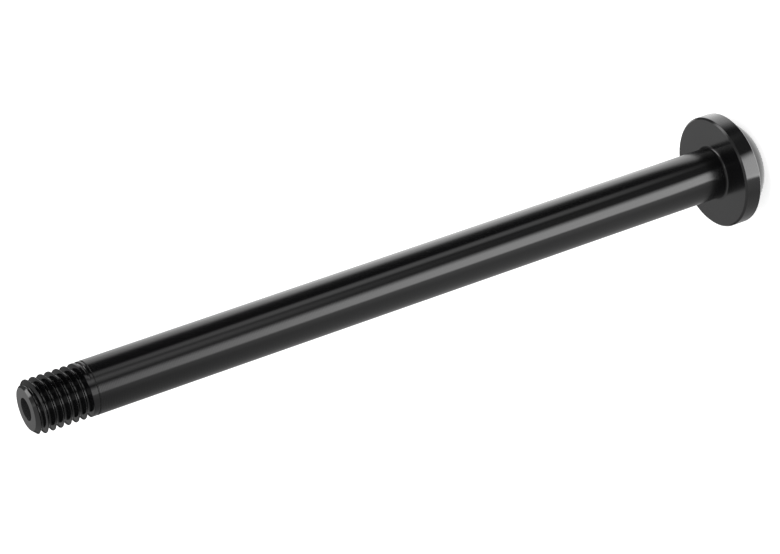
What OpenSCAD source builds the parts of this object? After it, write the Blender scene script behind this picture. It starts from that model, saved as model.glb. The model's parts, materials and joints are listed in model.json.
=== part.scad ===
// Hub axle: one turned aluminium bar with a threaded tip, a plain shaft,
// a thick round flange and a domed head with a hex socket.
// The axle stands on its head, and the threaded tip points up, along +Z.
// Heights are measured up from the flat end of the head.

/* [Shaft] */
// Diameter of the plain shaft
shaft_d = 12; // [11:0.1:15]
// Length from the flange's seat to the end of the threaded tip
grip_length = 174; // [80:1:230]
// Diameter of the bore that runs through the shaft
bore_d = 5; // [3:0.1:5.5]
// Radius of the fillet where the shaft meets the flange
fillet_r = 0.5; // [0.2:0.1:1]

/* [Thread] */
// Distance from one turn of the thread to the next
thread_pitch = 1.75; // [1.25:0.25:2]
// How much thinner the threaded end is than the shaft, over its crests
thread_undersize = 0.04; // [0.02:0.02:0.4]
// Length of the full-depth thread, from the tip
thread_length = 12.2; // [8:0.1:30]
// Distance from the tip to the fine turned line where the shaft begins
line_distance = 14; // [14:0.1:40]
// Diameter of the flat face at the tip
tip_face_d = 9.4; // [8:0.1:9.8]

/* [Flange] */
// Outer diameter of the flange
flange_d = 26.3; // [25:0.1:40]
// Thickness of the flange
flange_t = 4.4; // [3:0.1:8]
// Width of the bevel round each face of the flange
flange_bevel = 0.4; // [0.2:0.1:1]

/* [Head] */
// Height of the dome behind the flange
dome_h = 4.1; // [2:0.1:5]
// Diameter of the ball that the dome is a slice of
dome_ball_d = 27; // [25:0.5:28]
// Diameter of the flat end of the dome
dome_end_d = 17.4; // [12:0.1:18]
// Width of the hex socket across its flats
socket_af = 6; // [5.5:0.5:8]
// Depth of the hex socket
socket_depth = 7; // [4:0.5:12]
// Width of the bevel at the mouth of the hex socket
socket_bevel = 0.4; // [0.2:0.1:0.8]

/* [Hidden] */

shaft_r = shaft_d / 2;
flange_r = flange_d / 2;
thread_r = (shaft_d - thread_undersize) / 2;
tip_face_r = tip_face_d / 2;

// Heights of the flange's two faces and of the tip
back_z = dome_h;
seat_z = dome_h + flange_t;
tip_z = seat_z + grip_length;

// The ball's middle, on the axis, so that its slice at z = 0 is the flat end
ball_r = dome_ball_d / 2;
ball_z = sqrt(ball_r * ball_r - dome_end_d * dome_end_d / 4);

// A hexagon's corners lie further out than its flats
socket_corner_r = socket_af / 2 / cos(30);

// The tip is turned down at 45 degrees from the crests to its flat face
tip_bevel = thread_r - tip_face_r;

// The fine turned line is a shallow square groove
line_w = 0.52;
line_depth = 0.16;

// Metric thread form: 60 degree flanks, and a crest an eighth of a pitch wide
thread_depth = 0.6134 * thread_pitch;
crest_half = thread_pitch / 16;
flank_rise = tan(30);
// The cutter stands a little proud of the crests, and ends past the tip
cutter_proud = 0.1;
root_half = thread_pitch / 2 - crest_half - thread_depth * flank_rise;
mouth_half = root_half + (thread_depth + cutter_proud) * flank_rise;
// The groove fades out behind its full-depth stretch over this many turns
fade_turns = 0.7;
// Distance of the first groove's middle from the tip, on the +X side
first_groove = 0.8;
facets_per_turn = 36;

// Groove turns behind the tip and past it, counted from the +X side
turns_back = (thread_length - first_groove) / thread_pitch + fade_turns;
turns_past = 0.75;
cutter_steps = ceil((turns_back + turns_past) * facets_per_turn);

clear = 0.01;
$fn = 96;

// How far the cutter is drawn out of the shaft, by turns from the tip
function lift(turn) =
    let (fade_start = turns_back - fade_turns)
    turn < fade_start ? 0 : (turn - fade_start) / fade_turns * (thread_depth + cutter_proud / 2);

// One section of the cutter: root, mouth, mouth, root, at one step of the helix
function cutter_ring(step) =
    let (
        turn = turns_back - step / facets_per_turn,
        angle = -360 * turn,
        middle = tip_z - first_groove - thread_pitch * turn,
        root_r = thread_r - thread_depth + lift(turn),
        mouth_r = thread_r + cutter_proud + lift(turn)
    )
    [for (corner = [[root_r, -root_half], [mouth_r, -mouth_half], [mouth_r, mouth_half], [root_r, root_half]])
        [corner[0] * cos(angle), corner[0] * sin(angle), middle + corner[1]]];

// The groove of the right-hand thread, as a wedge-shaped cutter along a helix
module thread_cutter() {
    corners = 4;
    points = [for (step = [0 : cutter_steps]) each cutter_ring(step)];
    last = cutter_steps * corners;
    sides = [
        for (step = [0 : cutter_steps - 1], side = [0 : corners - 1])
            let (
                a = step * corners + side,
                b = step * corners + (side + 1) % corners,
                c = a + corners,
                d = b + corners
            )
            each [[a, b, c], [b, d, c]]
    ];
    first_cap = [[0, 2, 1], [0, 3, 2]];
    last_cap = [[last, last + 1, last + 2], [last, last + 2, last + 3]];
    polyhedron(points, concat(sides, first_cap, last_cap));
}

// The plain bar with its bevelled tip and the fine line behind the thread
module shaft() {
    line_z = tip_z - line_distance;
    rotate_extrude()
        polygon([
            [0, back_z],
            [shaft_r, back_z],
            [shaft_r, line_z - line_w],
            [thread_r - line_depth, line_z - line_w],
            [thread_r - line_depth, line_z],
            [thread_r, line_z],
            [thread_r, tip_z - tip_bevel],
            [tip_face_r, tip_z],
            [0, tip_z]
        ]);
}

// The ring of metal that blends the shaft into the flange's seat
module seat_fillet() {
    inner_r = shaft_r - fillet_r;
    rotate_extrude()
        difference() {
            translate([inner_r, seat_z - fillet_r])
                square([2 * fillet_r, 2 * fillet_r]);
            translate([shaft_r + fillet_r, seat_z + fillet_r])
                circle(r = fillet_r);
        }
}

// The thick disc that bears on the frame, bevelled round both faces
module flange() {
    rotate_extrude()
        polygon([
            [0, back_z],
            [flange_r - flange_bevel, back_z],
            [flange_r, back_z + flange_bevel],
            [flange_r, seat_z - flange_bevel],
            [flange_r - flange_bevel, seat_z],
            [0, seat_z]
        ]);
}

// The dome is a slice of a ball, flat where the axle stands on it
module dome() {
    intersection() {
        translate([0, 0, ball_z])
            sphere(r = ball_r);
        cylinder(h = dome_h + flange_t / 2, r = flange_r);
    }
}

// The hex socket with a bevelled mouth, open at the flat end of the head
module hex_socket() {
    translate([0, 0, -clear])
        cylinder(h = socket_depth + clear, r = socket_corner_r, $fn = 6);
    translate([0, 0, -clear])
        cylinder(
            h = socket_bevel + 2 * clear,
            r1 = socket_corner_r + socket_bevel + clear,
            r2 = socket_corner_r - clear
        );
}

// The bore that lightens the axle, from the socket out through the tip
module bore() {
    translate([0, 0, socket_depth - clear])
        cylinder(h = tip_z - socket_depth + 2 * clear, d = bore_d);
}

module axle() {
    color([0.03, 0.03, 0.035])
        difference() {
            union() {
                shaft();
                seat_fillet();
                flange();
                dome();
            }
            thread_cutter();
            hex_socket();
            bore();
        }
}

axle();
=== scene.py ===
"""Looks of a hub axle: one turned, black anodised bar on a pale studio floor.

The axle stands on its head in the CAD frame, in metres, with the threaded tip up.
"""

import json
import math

import bmesh
import bpy
from bpy.props import FloatProperty, FloatVectorProperty, IntProperty, PointerProperty
from mathutils import Matrix, Vector


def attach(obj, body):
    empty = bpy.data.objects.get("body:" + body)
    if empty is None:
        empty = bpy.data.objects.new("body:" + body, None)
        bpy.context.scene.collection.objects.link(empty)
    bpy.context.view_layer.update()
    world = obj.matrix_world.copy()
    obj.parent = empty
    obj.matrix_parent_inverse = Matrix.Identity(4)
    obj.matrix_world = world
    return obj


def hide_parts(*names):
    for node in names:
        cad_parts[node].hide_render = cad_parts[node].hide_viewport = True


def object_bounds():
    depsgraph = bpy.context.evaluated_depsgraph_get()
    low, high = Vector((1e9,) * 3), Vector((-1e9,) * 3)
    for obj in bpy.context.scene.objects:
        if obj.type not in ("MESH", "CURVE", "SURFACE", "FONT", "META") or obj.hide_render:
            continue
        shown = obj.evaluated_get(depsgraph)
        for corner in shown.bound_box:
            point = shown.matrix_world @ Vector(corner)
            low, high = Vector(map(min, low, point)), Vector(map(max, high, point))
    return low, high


bl_info = {
    "name": "Hub axle",
    "version": (1, 0, 0),
    "blender": (4, 5, 0),
    "location": "View3D > Sidebar > Hub Axle",
    "description": "Dresses the CAD hub axle with its turned and threaded surface and its finish",
    "category": "Object",
}

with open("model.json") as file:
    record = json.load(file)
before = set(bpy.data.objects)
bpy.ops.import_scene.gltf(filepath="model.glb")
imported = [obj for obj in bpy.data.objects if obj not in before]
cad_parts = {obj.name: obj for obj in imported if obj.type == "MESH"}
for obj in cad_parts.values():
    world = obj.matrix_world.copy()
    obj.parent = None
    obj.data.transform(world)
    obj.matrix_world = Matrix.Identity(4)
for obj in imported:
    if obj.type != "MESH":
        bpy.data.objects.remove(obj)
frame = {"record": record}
CAD_LOW, CAD_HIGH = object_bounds()
MOUNTS = {mount["name"]: mount for mount in frame["record"]["mounts"]}

MM = 0.001
TURN = 2 * math.pi


def mount_radius(name):
    """The radius of a round mount in the record, in metres."""
    return MOUNTS[name]["dims"]["r_mm"] * MM


def length_setting(name, description, default):
    """A length in metres, shown in the sidebar in the scene's units."""
    return FloatProperty(
        name=name,
        description=description,
        default=default,
        unit="LENGTH",
        subtype="DISTANCE",
    )


def share_setting(name, description, default):
    """A share between 0 and 1."""
    return FloatProperty(name=name, description=description, default=default, subtype="FACTOR")


def number_setting(name, description, default):
    """A plain number."""
    return FloatProperty(name=name, description=description, default=default)


def colour_setting(name, description, default):
    """A linear colour."""
    return FloatVectorProperty(
        name=name, description=description, default=default, subtype="COLOR", size=3
    )


class AxleSizes(bpy.types.PropertyGroup):
    """Sizes of the turned bar"""

    tip_height: length_setting(
        "Tip height",
        "Height of the threaded tip's flat face above the end of the head",
        MOUNTS["thread"]["pos_m"][2],
    )
    shaft_radius: length_setting(
        "Shaft radius", "Radius of the plain shaft", mount_radius("hub_seat")
    )
    bore_radius: length_setting(
        "Bore radius", "Radius of the bore that runs through the shaft", mount_radius("bore")
    )
    seat_height: length_setting(
        "Seat height",
        "Height of the flange's flat seat above the end of the head",
        MOUNTS["flange_seat"]["pos_m"][2],
    )
    flange_radius: length_setting("Flange radius", "Outer radius of the flange", CAD_HIGH[0])
    flange_back: length_setting(
        "Flange back", "Height of the flange's back face, where the dome begins", 4.1 * MM
    )
    flange_bevel: length_setting(
        "Flange bevel", "Width of the bevel round each face of the flange", 0.4 * MM
    )
    seat_fillet: length_setting(
        "Seat fillet", "Radius of the fillet where the shaft meets the flange", 0.5 * MM
    )
    dome_ball_radius: length_setting(
        "Dome ball radius", "Radius of the ball that the dome is a slice of", 13.5 * MM
    )
    dome_end_radius: length_setting(
        "Dome end radius", "Radius of the flat end of the dome", 8.7 * MM
    )
    socket_flats: length_setting(
        "Socket width", "Width of the hex socket across its flats", 6 * MM
    )
    socket_depth: length_setting("Socket depth", "Depth of the hex socket", 7 * MM)
    socket_bevel: length_setting(
        "Socket bevel", "Width of the bevel at the socket's mouth", 0.4 * MM
    )
    line_distance: length_setting(
        "Line distance",
        "Distance from the tip to the fine turned line behind the thread",
        13.85 * MM,
    )
    line_width: length_setting("Line width", "Width of the fine turned line", 0.3 * MM)
    line_depth: length_setting(
        "Line depth", "Depth of the fine turned line below the crests", 0.16 * MM
    )
    tip_face_radius: length_setting(
        "Tip face radius", "Radius of the flat face at the tip", 4.7 * MM
    )
    edge_round: length_setting(
        "Edge rounding", "Radius that the anodised edges are rounded to", 0.08 * MM
    )


class ThreadSizes(bpy.types.PropertyGroup):
    """Sizes of the right-hand thread at the tip"""

    pitch: length_setting("Pitch", "Distance from one turn of the thread to the next", 1.75 * MM)
    crest_radius: length_setting("Crest radius", "Radius of the thread over its crests", 5.98 * MM)
    crest_width: length_setting("Crest width", "Width of the flat on each crest", 0.12 * MM)
    depth: length_setting("Depth", "Depth of the groove below the crests", 1.07 * MM)
    full_length: length_setting(
        "Full length", "Length of the full-depth thread, from the tip", 12.2 * MM
    )
    fade_turns: number_setting(
        "Fade", "Turns over which the groove runs out behind its full-depth stretch", 0.7
    )
    first_groove: length_setting(
        "First groove",
        "Distance of the first groove's middle from the tip, on the +X side",
        0.7 * MM,
    )
    crest_softness: length_setting(
        "Crest softness", "How softly each crest turns into its flanks", 0.06 * MM
    )
    root_softness: length_setting(
        "Root softness", "How softly each flank turns into the root", 0.2 * MM
    )


class MeshDetail(bpy.types.PropertyGroup):
    """How finely the surface is divided"""

    segments: IntProperty(
        name="Segments",
        description="Divisions round the axle, a multiple of six for the socket's corners",
        default=144,
    )
    thread_rows: IntProperty(
        name="Thread rows",
        description="Rows of faces across one pitch of the thread",
        default=28,
    )


class AxleFinish(bpy.types.PropertyGroup):
    """Black anodised, fine turned aluminium"""

    colour: colour_setting("Colour", "Colour of the anodised layer", (0.0025, 0.0025, 0.0028))
    roughness: share_setting("Roughness", "Roughness of the anodised layer", 0.14)
    thread_roughness: share_setting(
        "Thread roughness", "Roughness of the thread, which is smoother than the shaft", 0.05
    )
    # Inside the bore a lighter grey is painted, a painted reflection that stands in for the light
    # its walls give back; the roughness after it is the bore's own
    bore_painted_reflection: colour_setting(
        "Drilled colour", "Colour of the duller surface inside the bore", (0.032, 0.032, 0.033)
    )
    drilled_roughness: share_setting(
        "Drilled roughness", "Roughness of the surface inside the bore", 0.25
    )
    mark_pitch: length_setting(
        "Turning mark pitch", "Distance between the marks that the turning tool left", 0.36 * MM
    )
    mark_roughness: share_setting(
        "Turning mark roughness",
        "How much rougher the marks are than the rest, near the tip",
        0.03,
    )
    mark_depth: length_setting("Turning mark depth", "Depth of the turning marks", 0.006 * MM)


class StudioLook(bpy.types.PropertyGroup):
    """Pale floor, soft light and the cards that the gloss mirrors"""

    floor_colour: colour_setting("Floor colour", "Colour of the studio floor", (0.82, 0.82, 0.82))
    floor_size: length_setting("Floor size", "Width of the studio floor", 8.0)
    sky_light: number_setting("Sky light", "Brightness of the room round the object", 0.8)
    sky_card: number_setting("Sky card", "Brightness of the small card overhead", 4.6)
    sky_card_direction: FloatVectorProperty(
        name="Sky card direction",
        description="Direction of the small card overhead",
        default=(0.66, 0.13, 0.74),
        subtype="DIRECTION",
        size=3,
    )
    key_card: number_setting(
        "Key card", "Brightness of the brightest card, in front and to the left", 5.1
    )
    side_card: number_setting("Side card", "Brightness of the wide card to the right", 1.95)
    strip_card: number_setting(
        "Strip card", "Brightness of the narrow cards in front and to the right", 1.55
    )
    under_card: number_setting(
        "Under card", "Brightness right under the head, which the dome mirrors", 1.25
    )
    card_reach: length_setting(
        "Card reach", "Distance at which the key card has faded to about half", 0.42
    )


class Field:
    """A node socket whose sums and products add Math nodes to its tree"""

    def __init__(self, maker, socket):
        self.maker = maker
        self.socket = socket

    def __add__(self, other):
        return self.maker.maths("ADD", self, other)

    def __radd__(self, other):
        return self.maker.maths("ADD", other, self)

    def __sub__(self, other):
        return self.maker.maths("SUBTRACT", self, other)

    def __rsub__(self, other):
        return self.maker.maths("SUBTRACT", other, self)

    def __mul__(self, other):
        return self.maker.maths("MULTIPLY", self, other)

    def __rmul__(self, other):
        return self.maker.maths("MULTIPLY", other, self)

    def __truediv__(self, other):
        return self.maker.maths("DIVIDE", self, other)

    def __rtruediv__(self, other):
        return self.maker.maths("DIVIDE", other, self)

    def __pow__(self, other):
        return self.maker.maths("POWER", self, other)


class Made:
    """A new node, whose outputs are taken by name or number"""

    def __init__(self, maker, node):
        self.maker = maker
        self.node = node

    def __getitem__(self, key):
        return Field(self.maker, self.node.outputs[key])


class NodeMaker:
    """Adds nodes to one tree, each with its settings first and then its sockets"""

    def __init__(self, tree):
        self.tree = tree

    def node(self, kind, settings=(), sockets=()):
        made = self.tree.nodes.new(kind)
        for name, value in dict(settings).items():
            if name == "stops":
                self.set_stops(made.color_ramp, value)
            else:
                setattr(made, name, value)
        for key, value in dict(sockets).items():
            if isinstance(value, Field):
                self.tree.links.new(value.socket, made.inputs[key])
            else:
                made.inputs[key].default_value = value
        return Made(self, made)

    def set_stops(self, ramp, stops):
        """Gives a colour ramp its grey stops, as (position, brightness)."""
        while len(ramp.elements) > 1:
            ramp.elements.remove(ramp.elements[-1])
        for place, (position, level) in enumerate(stops):
            stop = ramp.elements[0] if place == 0 else ramp.elements.new(position)
            stop.position = position
            stop.color = (level, level, level, 1)

    def maths(self, operation, *values):
        return self.node("ShaderNodeMath", {"operation": operation}, enumerate(values))[0]

    def smooth_rise(self, value, low, high):
        """0 below low, 1 above high, and a smooth step between."""
        return self.node(
            "ShaderNodeMapRange",
            {"interpolation_type": "SMOOTHSTEP"},
            {"Value": value, "From Min": low, "From Max": high},
        )["Result"]


CORNER_STEPS = 4
DOME_STEPS = 14
# A side twice this many reaches long gets a ring beside its corner, which keeps its shading flat
BESIDE_CORNER = 1.5
# Distance of such rings from the socket's corners
BESIDE_SOCKET = 0.02 * MM
# The thread's strip starts this far above the fine line, and ends this far below the tip's face
STRIP_ABOVE_LINE = 0.1 * MM
STRIP_BELOW_TIP = 0.12 * MM


def rounded_corner(before, corner, after, radius):
    """Points along the arc that rounds a corner of the outline, with one more beside each end."""
    corner = Vector(corner)
    towards = [(Vector(point) - corner) for point in (before, after)]
    lengths = [side.length for side in towards]
    sides = [side.normalized() for side in towards]
    half = sides[0].angle(sides[1]) / 2
    reach = radius / math.tan(half)
    middle = corner + (sides[0] + sides[1]).normalized() * (radius / math.sin(half))
    starts = [corner + side * reach - middle for side in sides]
    sweep = math.pi - 2 * half
    turn = math.copysign(sweep, starts[0].x * starts[1].y - starts[0].y * starts[1].x)
    beside = [corner + side * reach * BESIDE_CORNER for side in sides]
    has_room = [side > 2 * BESIDE_CORNER * reach for side in lengths]
    points = []
    if has_room[0]:
        points.append(beside[0])
    for step in range(CORNER_STEPS + 1):
        angle = turn * step / CORNER_STEPS
        spoke = Vector(
            (
                starts[0].x * math.cos(angle) - starts[0].y * math.sin(angle),
                starts[0].x * math.sin(angle) + starts[0].y * math.cos(angle),
            )
        )
        points.append(middle + spoke)
    if has_room[1]:
        points.append(beside[1])
    return points


def rounded_outline(corners):
    """An outline from (radius, height, rounding) corners; the two ends stay as they are."""
    points = [Vector(corners[0][:2])]
    for before, corner, after in zip(corners, corners[1:], corners[2:]):
        if corner[2]:
            points += rounded_corner(before[:2], corner[:2], after[:2], corner[2])
        else:
            points.append(Vector(corner[:2]))
    points.append(Vector(corners[-1][:2]))
    return points


def mouth_radius(sizes):
    """Radius of the round, bevelled mouth of the hex socket."""
    return sizes.socket_flats / 2 / math.cos(TURN / 12) + sizes.socket_bevel


def socket_radius(sizes, angle):
    """Distance from the axis to the hex socket's wall at an angle."""
    sixth = TURN / 6
    return sizes.socket_flats / 2 / math.cos(angle % sixth - sixth / 2)


def socket_rings(sizes, angles):
    """Rings of the socket, from the end of the bore out to its bevelled mouth."""
    mouth = mouth_radius(sizes)
    walls = [socket_radius(sizes, angle) for angle in angles]
    floor = sizes.socket_depth
    return [
        [(sizes.bore_radius, floor) for _ in angles],
        [(wall - BESIDE_SOCKET, floor) for wall in walls],
        [(wall, floor) for wall in walls],
        [(wall, floor - BESIDE_SOCKET) for wall in walls],
        [(wall, mouth - wall + BESIDE_SOCKET) for wall in walls],
        [(wall, mouth - wall) for wall in walls],
    ]


def outer_outline(sizes, thread):
    """The turned outline from the socket's mouth round the head and up to the thread."""
    edge = sizes.edge_round
    seat, back = sizes.seat_height, sizes.flange_back
    ball = sizes.dome_ball_radius
    ball_height = math.sqrt(ball**2 - sizes.dome_end_radius**2)
    dome = []
    for step in range(1, DOME_STEPS):
        height = back * step / DOME_STEPS
        dome.append((math.sqrt(ball**2 - (ball_height - height) ** 2), height, 0))
    dome_start = math.sqrt(ball**2 - (ball_height - back) ** 2)
    line_top = sizes.tip_height - sizes.line_distance
    line_foot = line_top - sizes.line_width
    line_radius = thread.crest_radius - sizes.line_depth
    mouth = mouth_radius(sizes)
    bevel_in = sizes.flange_radius - sizes.flange_bevel
    return rounded_outline(
        [
            (mouth - edge, edge, 0),
            (mouth, 0, edge / 2),
            (sizes.dome_end_radius, 0, edge),
            *dome,
            (dome_start, back, edge / 4),
            (bevel_in, back, edge),
            (sizes.flange_radius, back + sizes.flange_bevel, edge),
            (sizes.flange_radius, seat - sizes.flange_bevel, edge),
            (bevel_in, seat, edge),
            (sizes.shaft_radius, seat, sizes.seat_fillet),
            (sizes.shaft_radius, line_foot, edge),
            (line_radius, line_foot, edge / 4),
            (line_radius, line_top, edge / 4),
            (thread.crest_radius, line_top, edge / 4),
            (thread.crest_radius, thread_span(sizes)[0], 0),
        ]
    )


def thread_span(sizes):
    """Heights between which the thread's own surface stands in for the outline."""
    line_top = sizes.tip_height - sizes.line_distance
    return line_top + STRIP_ABOVE_LINE, sizes.tip_height - STRIP_BELOW_TIP


def tip_outline(sizes):
    """The turned outline from the thread's upper edge over the tip and down the bore."""
    top = sizes.tip_height
    margin = top - thread_span(sizes)[1]
    return rounded_outline(
        [
            (sizes.tip_face_radius + margin, top - margin, 0),
            (sizes.tip_face_radius, top, sizes.edge_round),
            (sizes.bore_radius, top, sizes.edge_round / 2),
            (sizes.bore_radius, sizes.socket_depth, 0),
        ]
    )


def ring_angles(segments):
    """The directions of a ring's points, in radians."""
    return [TURN * place / segments for place in range(segments)]


def turned_rings(outline, angles):
    """A ring for each point of a turned outline."""
    return [[(point.x, point.y) for _ in angles] for point in outline]


def add_rings(shape, rings, angles):
    """Adds one band of faces between each ring of (radius, height) points and the next."""
    made = [
        [
            shape.verts.new((radius * math.cos(angle), radius * math.sin(angle), height))
            for angle, (radius, height) in zip(angles, ring)
        ]
        for ring in rings
    ]
    for lower, upper in zip(made, made[1:]):
        for one in range(len(angles)):
            two = (one + 1) % len(angles)
            shape.faces.new((lower[one], lower[two], upper[two], upper[one]))


def turned_body(sizes, thread, detail):
    """The bar without its thread: the head and shaft, and the tip with the bore."""
    angles = ring_angles(detail.segments)
    shape = bmesh.new()
    head = socket_rings(sizes, angles) + turned_rings(outer_outline(sizes, thread), angles)
    add_rings(shape, head, angles)
    add_rings(shape, turned_rings(tip_outline(sizes), angles), angles)
    mesh = bpy.data.meshes.new("turned_body")
    shape.to_mesh(mesh)
    shape.free()
    return mesh


THREAD_INPUTS = (
    ("Pitch", "NodeSocketFloat"),
    ("Crest Radius", "NodeSocketFloat"),
    ("Crest Width", "NodeSocketFloat"),
    ("Depth", "NodeSocketFloat"),
    ("First Groove", "NodeSocketFloat"),
    ("Fade Start", "NodeSocketFloat"),
    ("Fade Turns", "NodeSocketFloat"),
    ("Crest Softness", "NodeSocketFloat"),
    ("Root Softness", "NodeSocketFloat"),
    ("Tip Height", "NodeSocketFloat"),
    ("Tip Face Radius", "NodeSocketFloat"),
    ("Lower Edge", "NodeSocketFloat"),
    ("Upper Edge", "NodeSocketFloat"),
    ("Segments", "NodeSocketInt"),
    ("Rows", "NodeSocketInt"),
    ("Finish", "NodeSocketMaterial"),
)

# Turns of the strip that becomes the thread; one of them lies past the tip
STRIP_TURNS = 10
FLANK_SLOPE = math.tan(math.radians(30))
# The root rises by this many depths as the groove runs out, so that it clears the crests
RUN_OUT_LIFT = 1.1
# The strip's edges blend into the rings below and above them over these heights
BLEND_AT_TIP = 0.15 * MM
BLEND_AT_SHAFT = 0.1 * MM
WELD_DISTANCE = 0.002 * MM
SMALLEST_EDGE = 1e-7
SHARP_ANGLE = math.radians(35)


def thread_tree():
    """A strip one pitch wide, wound round the tip, whose radius follows the thread's form."""
    tree = bpy.data.node_groups.new("wound_thread", "GeometryNodeTree")
    tree.interface.new_socket(
        name="Geometry", in_out="INPUT", socket_type="NodeSocketGeometry"
    )
    for name, kind in THREAD_INPUTS:
        tree.interface.new_socket(name=name, in_out="INPUT", socket_type=kind)
    tree.interface.new_socket(
        name="Geometry", in_out="OUTPUT", socket_type="NodeSocketGeometry"
    )
    maker = NodeMaker(tree)
    given = maker.node("NodeGroupInput")
    pitch = given["Pitch"]
    crest = given["Crest Radius"]

    strip = maker.node(
        "GeometryNodeMeshGrid",
        (),
        {
            "Size X": float(STRIP_TURNS),
            "Size Y": 1.0,
            "Vertices X": given["Segments"] * STRIP_TURNS + 1,
            "Vertices Y": given["Rows"] + 1,
        },
    )
    place = maker.node("GeometryNodeInputPosition")
    across = maker.node("ShaderNodeSeparateXYZ", (), {0: place[0]})
    turn = across["X"] + (STRIP_TURNS / 2 - 1)

    # Height of each point, kept between the two rings that the strip joins
    middle = given["Tip Height"] - given["First Groove"] - pitch * turn
    height = maker.maths(
        "MINIMUM",
        maker.maths("MAXIMUM", middle + across["Y"] * pitch, given["Lower Edge"]),
        given["Upper Edge"],
    )
    from_middle = maker.maths("ABSOLUTE", height - middle)

    # The groove: a root, two flanks, and a lift that runs it out behind the thread
    fade = maker.maths("MAXIMUM", (turn - given["Fade Start"]) / given["Fade Turns"], 0.0)
    root = crest - given["Depth"] + fade * given["Depth"] * RUN_OUT_LIFT
    root_half = pitch / 2 - given["Crest Width"] / 2 - given["Depth"] * FLANK_SLOPE
    flank = root + (from_middle - root_half) / FLANK_SLOPE
    groove = maker.maths("SMOOTH_MAX", root, flank, given["Root Softness"])

    # Nothing stands out past the crests or past the bevelled tip
    cone = given["Tip Face Radius"] + given["Tip Height"] - height
    bar = maker.maths("SMOOTH_MIN", crest, cone, given["Crest Softness"])
    radius = maker.maths("SMOOTH_MIN", bar, groove, given["Crest Softness"])
    near_tip = maker.smooth_rise(
        height, given["Upper Edge"] - BLEND_AT_TIP, given["Upper Edge"]
    )
    radius = radius + (cone - radius) * near_tip
    near_shaft = maker.smooth_rise(
        height, given["Lower Edge"] + BLEND_AT_SHAFT, given["Lower Edge"]
    )
    radius = radius + (crest - radius) * near_shaft

    angle = turn * -TURN
    wound_place = maker.node(
        "ShaderNodeCombineXYZ",
        (),
        {
            "X": radius * maker.maths("COSINE", angle),
            "Y": radius * maker.maths("SINE", angle),
            "Z": height,
        },
    )
    wound = maker.node(
        "GeometryNodeSetPosition",
        (),
        {"Geometry": strip["Mesh"], "Position": wound_place[0]},
    )
    both = maker.node("GeometryNodeJoinGeometry")
    tree.links.new(given["Geometry"].socket, both.node.inputs[0])
    tree.links.new(wound["Geometry"].socket, both.node.inputs[0])
    welded = maker.node(
        "GeometryNodeMergeByDistance", (), {"Geometry": both[0], "Distance": WELD_DISTANCE}
    )
    real = maker.node("GeometryNodeRealizeInstances", (), {"Geometry": welded[0]})
    finished = maker.node(
        "GeometryNodeSetMaterial",
        (),
        {"Geometry": real[0], "Material": given["Finish"]},
    )
    maker.node("NodeGroupOutput", (), {"Geometry": finished[0]})
    return tree


def set_inputs(modifier, values):
    """Sets a Geometry Nodes modifier's inputs by the names in its tree."""
    for item in modifier.node_group.interface.items_tree:
        if item.item_type == "SOCKET" and item.in_out == "INPUT" and item.name in values:
            modifier[item.identifier] = values[item.name]


def add_thread(body, sizes, thread, detail, finish):
    """Winds the thread on to the body and returns the whole bar as a plain mesh."""
    modifier = body.modifiers.new("wound thread", "NODES")
    modifier.node_group = thread_tree()
    lower, upper = thread_span(sizes)
    set_inputs(
        modifier,
        {
            "Pitch": thread.pitch,
            "Crest Radius": thread.crest_radius,
            "Crest Width": thread.crest_width,
            "Depth": thread.depth,
            "First Groove": thread.first_groove,
            "Fade Start": (thread.full_length - thread.first_groove) / thread.pitch,
            "Fade Turns": thread.fade_turns,
            "Crest Softness": thread.crest_softness,
            "Root Softness": thread.root_softness,
            "Tip Height": sizes.tip_height,
            "Tip Face Radius": sizes.tip_face_radius,
            "Lower Edge": lower,
            "Upper Edge": upper,
            "Segments": detail.segments,
            "Rows": detail.thread_rows,
            "Finish": finish,
        },
    )
    graph = bpy.context.evaluated_depsgraph_get()
    mesh = bpy.data.meshes.new_from_object(body.evaluated_get(graph))
    body.modifiers.remove(modifier)
    return mesh


def close_and_smooth(mesh):
    """Turns all faces outwards, shades them smooth and keeps the true edges sharp."""
    shape = bmesh.new()
    shape.from_mesh(mesh)
    bmesh.ops.dissolve_degenerate(shape, dist=SMALLEST_EDGE, edges=shape.edges[:])
    bmesh.ops.recalc_face_normals(shape, faces=shape.faces[:])
    open_edges = [edge for edge in shape.edges if not edge.is_manifold]
    shape.to_mesh(mesh)
    shape.free()
    if open_edges:
        raise RuntimeError(f"the bar has {len(open_edges)} open edges")
    mesh.shade_smooth()
    mesh.set_sharp_from_angle(angle=SHARP_ANGLE)


def new_material(name):
    """A material with an empty node tree, and a maker for its nodes."""
    material = bpy.data.materials.new(name)
    material.use_nodes = True
    material.node_tree.nodes.clear()
    return material, NodeMaker(material.node_tree)


def shaded_place(maker):
    """The shaded point, its X, Y and Z, and its distance from the axis."""
    place = maker.node("ShaderNodeTexCoord")["Object"]
    parts = maker.node("ShaderNodeSeparateXYZ", (), {0: place})
    across = maker.maths("SQRT", parts["X"] * parts["X"] + parts["Y"] * parts["Y"])
    return place, parts, across


# Distances over which the thread's finish, and the bore's rougher finish with its painted
# reflection, take over from the shaft's
THREAD_FINISH_BLEND = 0.1 * MM
BORE_FINISH_AND_PAINTED_REFLECTION_BLEND = (0.02 * MM, 0.1 * MM)
# Soft clouds that vary the gloss and drift the turning marks apart, by so many pitches
CLOUDS = {"Scale": 60.0, "Detail": 3.0, "Roughness": 0.5}
CLOUD_ROUGHNESS = 0.04
MARK_DRIFT = 2
# The turning marks are faint at the head, and grow to full depth between these heights
MARKS_GROW = (0.05, 0.15)
FAINT_MARKS = 0.1
# Turning stretches each reflection along the axle
ANODISED_GLOSS = {"IOR": 1.5, "Anisotropic": 1.0, "Anisotropic Rotation": 0.25}


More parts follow.
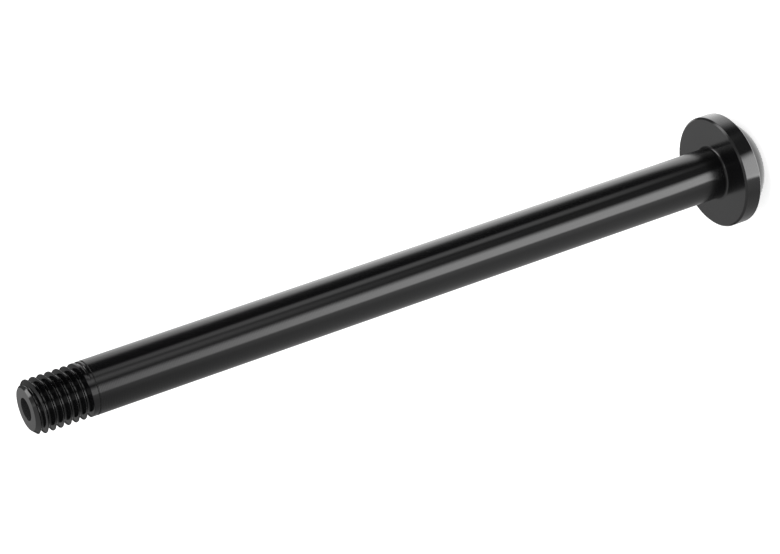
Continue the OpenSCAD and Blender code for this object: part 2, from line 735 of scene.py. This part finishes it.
def anodised_material(finish, sizes):
    """Black anodised aluminium with the fine rings that turning leaves."""
    material, maker = new_material("black_anodised")
    place, parts, across = shaded_place(maker)
    height = parts["Z"]
    thread_foot = sizes.tip_height - sizes.line_distance - sizes.line_width
    on_thread = maker.smooth_rise(height, thread_foot, thread_foot + THREAD_FINISH_BLEND)
    blend_from, blend_to = BORE_FINISH_AND_PAINTED_REFLECTION_BLEND
    inside = 1 - maker.smooth_rise(
        across, sizes.bore_radius + blend_from, sizes.bore_radius + blend_to
    )
    # Inside the bore the black colour gives way to a lighter grey, a painted reflection
    surface_colour = maker.node(
        "ShaderNodeMix",
        {"data_type": "RGBA"},
        {0: inside, 6: (*finish.colour, 1), 7: (*finish.bore_painted_reflection, 1)},
    )[2]

    # One turning mark after another along the shaft and out across the faces
    clouds = maker.node("ShaderNodeTexNoise", (), {"Vector": place, **CLOUDS})[0]
    turns = (height + across) / finish.mark_pitch + clouds * MARK_DRIFT
    marks = 0.5 + 0.5 * maker.maths("SINE", turns * TURN)
    towards_tip = maker.smooth_rise(height, *MARKS_GROW) * (1 - on_thread)
    bump = maker.node(
        "ShaderNodeBump",
        (),
        {
            "Strength": 1.0,
            "Distance": finish.mark_depth,
            "Height": marks * (FAINT_MARKS + towards_tip),
        },
    )[0]
    roughness = finish.roughness + (clouds - 0.5) * CLOUD_ROUGHNESS
    roughness = roughness + marks * towards_tip * finish.mark_roughness
    roughness = roughness + on_thread * (finish.thread_roughness - finish.roughness)
    roughness = roughness + inside * (finish.drilled_roughness - finish.roughness)
    shader = maker.node(
        "ShaderNodeBsdfPrincipled",
        (),
        {
            "Base Color": surface_colour,
            "Roughness": roughness,
            "Normal": bump,
            **ANODISED_GLOSS,
        },
    )
    maker.node("ShaderNodeOutputMaterial", (), {"Surface": shader[0]})
    return material


# Light that the floor adds to what the lamp gives it, so that it shows white
FLOOR_GLOW = 0.7


def floor_material(look):
    """Pale floor that shows white from the camera and keeps the object's shadow."""
    material, maker = new_material("studio_floor")
    matt = maker.node("ShaderNodeBsdfDiffuse", (), {"Color": (*look.floor_colour, 1)})
    seen = maker.node("ShaderNodeLightPath")["Is Camera Ray"]
    glow = maker.node(
        "ShaderNodeEmission", (), {"Color": (1, 1, 1, 1), "Strength": FLOOR_GLOW * seen}
    )
    both = maker.node("ShaderNodeAddShader", (), {0: matt[0], 1: glow[0]})
    maker.node("ShaderNodeOutputMaterial", (), {"Surface": both[0]})
    return material


# Light from the floor all round the object, as (direction in degrees, brightness).
# Direction 0 is +X, and -90 is towards the camera.
ROUND_LIGHT = (
    (-180, 0.65),
    (-150, 0.72),
    (-135, 1.0),
    (-126, 1.3),
    (-120, 0.3),
    (-60, 0.2),
    (-38, 0.1),
    (-30, 0.05),
    (0, 0.06),
    (20, 0.1),
    (90, 0.1),
    (110, 0.6),
    (180, 0.65),
)

# Each card lies between two directions, and its edges are blurred by so many degrees.
# The shaft mirrors the cards' far parts, and the head mirrors the parts near the axle,
# where the edges turn by some degrees to suit the head's own view of them.
NEAR_REACH, NEAR_POWER = 0.032, 5
ROUND_LIGHT_TURN, ROUND_LIGHT_FADE = 12, 0.2
KEY_LEFT, KEY_LEFT_BLUR = -124.2, 3.5
KEY_LEFT_TURN, KEY_LEFT_SHARPER = 9.5, 1.5
KEY_RIGHT, KEY_RIGHT_BLUR = -88.7, 11
KEY_RIGHT_TURN, KEY_RIGHT_SHARPER, KEY_RIGHT_SLANT = 8, 7, 19
KEY_NEAR_GAIN = 0.25
SIDE_LEFT, SIDE_LEFT_BLUR = 13.5, 12
SIDE_LEFT_TURN, SIDE_LEFT_CURVE = 25, 0.4
SIDE_FALL, SIDE_FALL_BLUR, SIDE_FALL_TURN = 60, 18, 42
SIDE_FALL_FAR, SIDE_FALL_NEAR = 0.45, 0.15
SIDE_RIGHT, SIDE_RIGHT_BLUR = 104, 10
SIDE_REACH_RATIO = 1.4
STRIP_LEFT, STRIP_RIGHT, STRIP_BLUR, STRIP_TURN = -55, -38, 6, 12
STRIP_BEYOND, STRIP_POWER = 0.075, 2
FAR_STRIP_LEFT, FAR_STRIP_LEFT_BLUR = -80, 10
FAR_STRIP_RIGHT, FAR_STRIP_RIGHT_BLUR = -61, 8
FAR_STRIP_BEYOND, FAR_STRIP_POWER = 0.36, 4
TAIL_LEVEL, TAIL_LEFT, TAIL_LEFT_BLUR = 0.22, -6, 14
TAIL_RIGHT, TAIL_RIGHT_BLUR = 60, 30
TAIL_REACH, TAIL_POWER = 0.25, 4
# The cards fade with distance to this share, by this power of it
FADED_SHARE, FADE_POWER = 0.08, 4
# Distances from the axis between which the light under the head gives way to the cards
UNDER_HEAD = (11.5 * MM, 13.5 * MM)


def card_material(look):
    """Light of the cards by direction from the object, fading with distance."""
    material, maker = new_material("studio_cards")
    _, parts, across = shaded_place(maker)
    direction = maker.maths("ARCTAN2", parts["Y"], parts["X"]) * (360 / TURN)

    def rise(edge, blur):
        return maker.smooth_rise(direction, edge - blur, edge + blur)

    def fade(reach):
        return FADED_SHARE + (1 - FADED_SHARE) / (1 + (across / reach) ** FADE_POWER)

    def beyond(reach, power):
        return 1 - 1 / (1 + (across / reach) ** power)

    near = 1 - beyond(NEAR_REACH, NEAR_POWER)
    nearest = near * near
    around = maker.node(
        "ShaderNodeValToRGB",
        {"stops": [(angle / 360 + 0.5, level) for angle, level in ROUND_LIGHT]},
        {"Fac": (direction - ROUND_LIGHT_TURN * near) / 360 + 0.5},
    )
    grey = maker.node("ShaderNodeSeparateColor", (), {0: around[0]})[0]
    grey = grey * (1 - ROUND_LIGHT_FADE * near)

    key_left = KEY_LEFT + KEY_LEFT_TURN * near
    key_right = KEY_RIGHT - KEY_RIGHT_SLANT * across + KEY_RIGHT_TURN * nearest
    key = rise(key_left, KEY_LEFT_BLUR - KEY_LEFT_SHARPER * nearest)
    key = key * (1 - rise(key_right, KEY_RIGHT_BLUR - KEY_RIGHT_SHARPER * nearest))
    key = key * (1 + KEY_NEAR_GAIN * near) * fade(look.card_reach)

    side_left = SIDE_LEFT - SIDE_LEFT_CURVE / across - SIDE_LEFT_TURN * near
    side_fall = rise(SIDE_FALL - SIDE_FALL_TURN * near, SIDE_FALL_BLUR)
    side_fall = (SIDE_FALL_FAR + SIDE_FALL_NEAR * near) * side_fall
    side = rise(side_left, SIDE_LEFT_BLUR) * (1 - side_fall)
    side = side * (1 - rise(SIDE_RIGHT, SIDE_RIGHT_BLUR))

    strip = rise(STRIP_LEFT, STRIP_BLUR)
    strip = strip * (1 - rise(STRIP_RIGHT - STRIP_TURN * near, STRIP_BLUR))
    strip = strip * beyond(STRIP_BEYOND, STRIP_POWER)
    far_strip = rise(FAR_STRIP_LEFT, FAR_STRIP_LEFT_BLUR)
    far_strip = far_strip * (1 - rise(FAR_STRIP_RIGHT, FAR_STRIP_RIGHT_BLUR))
    far_strip = far_strip * beyond(FAR_STRIP_BEYOND, FAR_STRIP_POWER)

    tail = TAIL_LEVEL * rise(TAIL_LEFT, TAIL_LEFT_BLUR)
    tail = tail * (1 - rise(TAIL_RIGHT, TAIL_RIGHT_BLUR))
    tail = tail * (1 - beyond(TAIL_REACH, TAIL_POWER))

    faded = side * look.side_card + strip * look.strip_card + grey
    faded = faded * fade(look.card_reach * SIDE_REACH_RATIO)
    level = key * look.key_card + far_strip * look.strip_card + faded + tail
    under = 1 - maker.smooth_rise(across, *UNDER_HEAD)
    level = level + (look.under_card - level) * under
    light = maker.node("ShaderNodeEmission", (), {"Strength": level})
    maker.node("ShaderNodeOutputMaterial", (), {"Surface": light[0]})
    return material


def add_object(name, data):
    """A new object in the scene."""
    made = bpy.data.objects.new(name, data)
    bpy.context.scene.collection.objects.link(made)
    return made


def add_floor(look):
    """The pale floor under the axle."""
    half = look.floor_size / 2
    mesh = bpy.data.meshes.new("studio_floor")
    mesh.from_pydata(
        [(-half, -half, 0), (half, -half, 0), (half, half, 0), (-half, half, 0)],
        [],
        [(0, 1, 2, 3)],
    )
    mesh.materials.append(floor_material(look))
    add_object("studio_floor", mesh)


CARD_SEGMENTS = 96
CARD_INNER_RADIUS = 8.8 * MM
CARD_LIFT = 0.2 * MM


def add_cards(look):
    """A wide ring just over the floor, which only the gloss of the object mirrors."""
    shape = bmesh.new()
    angles = ring_angles(CARD_SEGMENTS)
    radii = (CARD_INNER_RADIUS, look.floor_size / 2)
    add_rings(shape, [[(radius, CARD_LIFT) for _ in angles] for radius in radii], angles)
    bmesh.ops.recalc_face_normals(shape, faces=shape.faces[:])
    mesh = bpy.data.meshes.new("studio_cards")
    shape.to_mesh(mesh)
    shape.free()
    mesh.materials.append(card_material(look))
    cards = add_object("studio_cards", mesh)
    cards.visible_camera = False
    cards.visible_diffuse = False
    cards.visible_transmission = False
    cards.visible_volume_scatter = False
    cards.visible_shadow = False


# The sky as gloss mirrors it: a least level, what a rise adds to it, and the rise's ends
SKY_BY_HEIGHT = (0.34, 0.85, -0.1, 0.95)
SKY_BY_SIDE = (0.72, 0.42, -0.02, 0.03)
SKY_AT_HORIZON = (0.25, 0.75, 0.02, 0.22)
SKY_FAR_SIDE = (1.0, -0.6, 0.05, 0.3)
# The small card's edge is blurred between these distances from its direction
SKY_CARD_EDGE = (0.2, 0.36)


def set_world(look):
    """White to the camera, plain light for the object, and a soft sky for its gloss."""
    world = bpy.data.worlds.new("studio_room")
    bpy.context.scene.world = world
    world.use_nodes = True
    world.node_tree.nodes.clear()
    maker = NodeMaker(world.node_tree)
    way = maker.node("ShaderNodeTexCoord")["Generated"]
    along = maker.node("ShaderNodeSeparateXYZ", (), {0: way})

    def shade(axis, least, added, low, high):
        return least + added * maker.smooth_rise(along[axis], low, high)

    sky = shade("Z", *SKY_BY_HEIGHT) * shade("X", *SKY_BY_SIDE)
    sky = sky * shade("Z", *SKY_AT_HORIZON) * shade("X", *SKY_FAR_SIDE)
    off_card = maker.node(
        "ShaderNodeVectorMath",
        {"operation": "DISTANCE"},
        {0: way, 1: look.sky_card_direction},
    )["Value"]
    sky = sky + look.sky_card * (1 - maker.smooth_rise(off_card, *SKY_CARD_EDGE))
    rays = maker.node("ShaderNodeLightPath")
    level = look.sky_light + (sky - look.sky_light) * rays["Is Glossy Ray"]
    level = level + (1 - level) * rays["Is Camera Ray"]
    light = maker.node(
        "ShaderNodeBackground", (), {"Color": (1, 1, 1, 1), "Strength": level}
    )
    maker.node("ShaderNodeOutputWorld", (), {"Surface": light[0]})


LAMP_SIZE = 0.8
LAMP_ENERGY = 6.0
LAMP_PLACE = (0.5, -0.7, 1.3)
LAMP_TARGET = (0, 0, 0.05)


def add_lamp():
    """One wide soft lamp overhead, behind the camera."""
    lamp = bpy.data.lights.new("soft_lamp", "AREA")
    lamp.shape = "DISK"
    lamp.size = LAMP_SIZE
    lamp.energy = LAMP_ENERGY
    holder = add_object("soft_lamp", lamp)
    holder.location = LAMP_PLACE
    aim = Vector(LAMP_TARGET) - holder.location
    holder.rotation_mode = "QUATERNION"
    holder.rotation_quaternion = aim.to_track_quat("-Z", "Y")
    holder.visible_glossy = False


# The camera's own axes and its place in the CAD frame, in metres
CAMERA_RIGHT = (-0.326422, -0.397455, -0.857600)
CAMERA_UP = (0.945221, -0.139474, -0.295133)
CAMERA_BACK = (-0.002311, -0.906960, 0.421210)
CAMERA_PLACE = (0.0, -0.546821, 0.348861)
CAMERA_SENSOR_MM = 36.0
CAMERA_LENS_MM = 127.393
CAMERA_CLIP = (0.02, 50.0)


def add_camera():
    """The photograph's viewpoint, fitted to the bar's edges."""
    camera = bpy.data.cameras.new("photo_camera")
    camera.sensor_width = CAMERA_SENSOR_MM
    camera.lens = CAMERA_LENS_MM
    camera.clip_start, camera.clip_end = CAMERA_CLIP
    holder = add_object("photo_camera", camera)
    axes = zip(CAMERA_RIGHT, CAMERA_UP, CAMERA_BACK)
    rows = [(*row, end) for row, end in zip(axes, CAMERA_PLACE)]
    holder.matrix_world = Matrix([*rows, (0, 0, 0, 1)])
    bpy.context.scene.camera = holder


class HUBAXLE_OT_bar(bpy.types.Operator):
    """Make the turned and threaded bar in place of its CAD solid"""

    bl_idname = "hub_axle.bar"
    bl_label = "Make the bar"

    def execute(self, context):
        scene = context.scene
        sizes, thread = scene.axle_sizes, scene.thread_sizes
        detail = scene.mesh_detail
        finish = anodised_material(scene.axle_finish, sizes)
        body = add_object("turned_body", turned_body(sizes, thread, detail))
        mesh = add_thread(body, sizes, thread, detail, finish)
        bpy.data.objects.remove(body)
        mesh.name = "turned_bar"
        close_and_smooth(mesh)
        bar = add_object("turned_bar", mesh)
        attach(bar, "root")
        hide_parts("axle")
        return {"FINISHED"}


class HUBAXLE_OT_stage(bpy.types.Operator):
    """Make the floor, the cards, the light and the camera"""

    bl_idname = "hub_axle.stage"
    bl_label = "Make the stage"

    def execute(self, context):
        look = context.scene.studio_look
        add_floor(look)
        add_cards(look)
        set_world(look)
        add_lamp()
        add_camera()
        context.scene.view_settings.view_transform = "Standard"
        return {"FINISHED"}


class HUBAXLE_PT_sidebar(bpy.types.Panel):
    """Sizes, finish and steps of the hub axle"""

    bl_idname = "HUBAXLE_PT_sidebar"
    bl_label = "Hub Axle"
    bl_space_type = "VIEW_3D"
    bl_region_type = "UI"
    bl_category = "Hub Axle"

    def draw(self, context):
        for group, title, _ in GROUPS:
            box = self.layout.box()
            box.label(text=title)
            values = getattr(context.scene, group)
            for name in values.bl_rna.properties.keys():
                if name not in ("rna_type", "name"):
                    box.prop(values, name)
        for step in OPERATORS:
            self.layout.operator(step.bl_idname)


GROUPS = (
    ("axle_sizes", "Bar", AxleSizes),
    ("thread_sizes", "Thread", ThreadSizes),
    ("mesh_detail", "Mesh", MeshDetail),
    ("axle_finish", "Finish", AxleFinish),
    ("studio_look", "Studio", StudioLook),
)
OPERATORS = (HUBAXLE_OT_bar, HUBAXLE_OT_stage)


def register():
    for group, _, kind in GROUPS:
        bpy.utils.register_class(kind)
        setattr(bpy.types.Scene, group, PointerProperty(type=kind))
    for kind in (*OPERATORS, HUBAXLE_PT_sidebar):
        bpy.utils.register_class(kind)


def unregister():
    for kind in (HUBAXLE_PT_sidebar, *reversed(OPERATORS)):
        bpy.utils.unregister_class(kind)
    for group, _, kind in reversed(GROUPS):
        delattr(bpy.types.Scene, group)
        bpy.utils.unregister_class(kind)


def main():
    register()
    bpy.ops.hub_axle.bar()
    bpy.ops.hub_axle.stage()


if __name__ == "__main__":
    main()
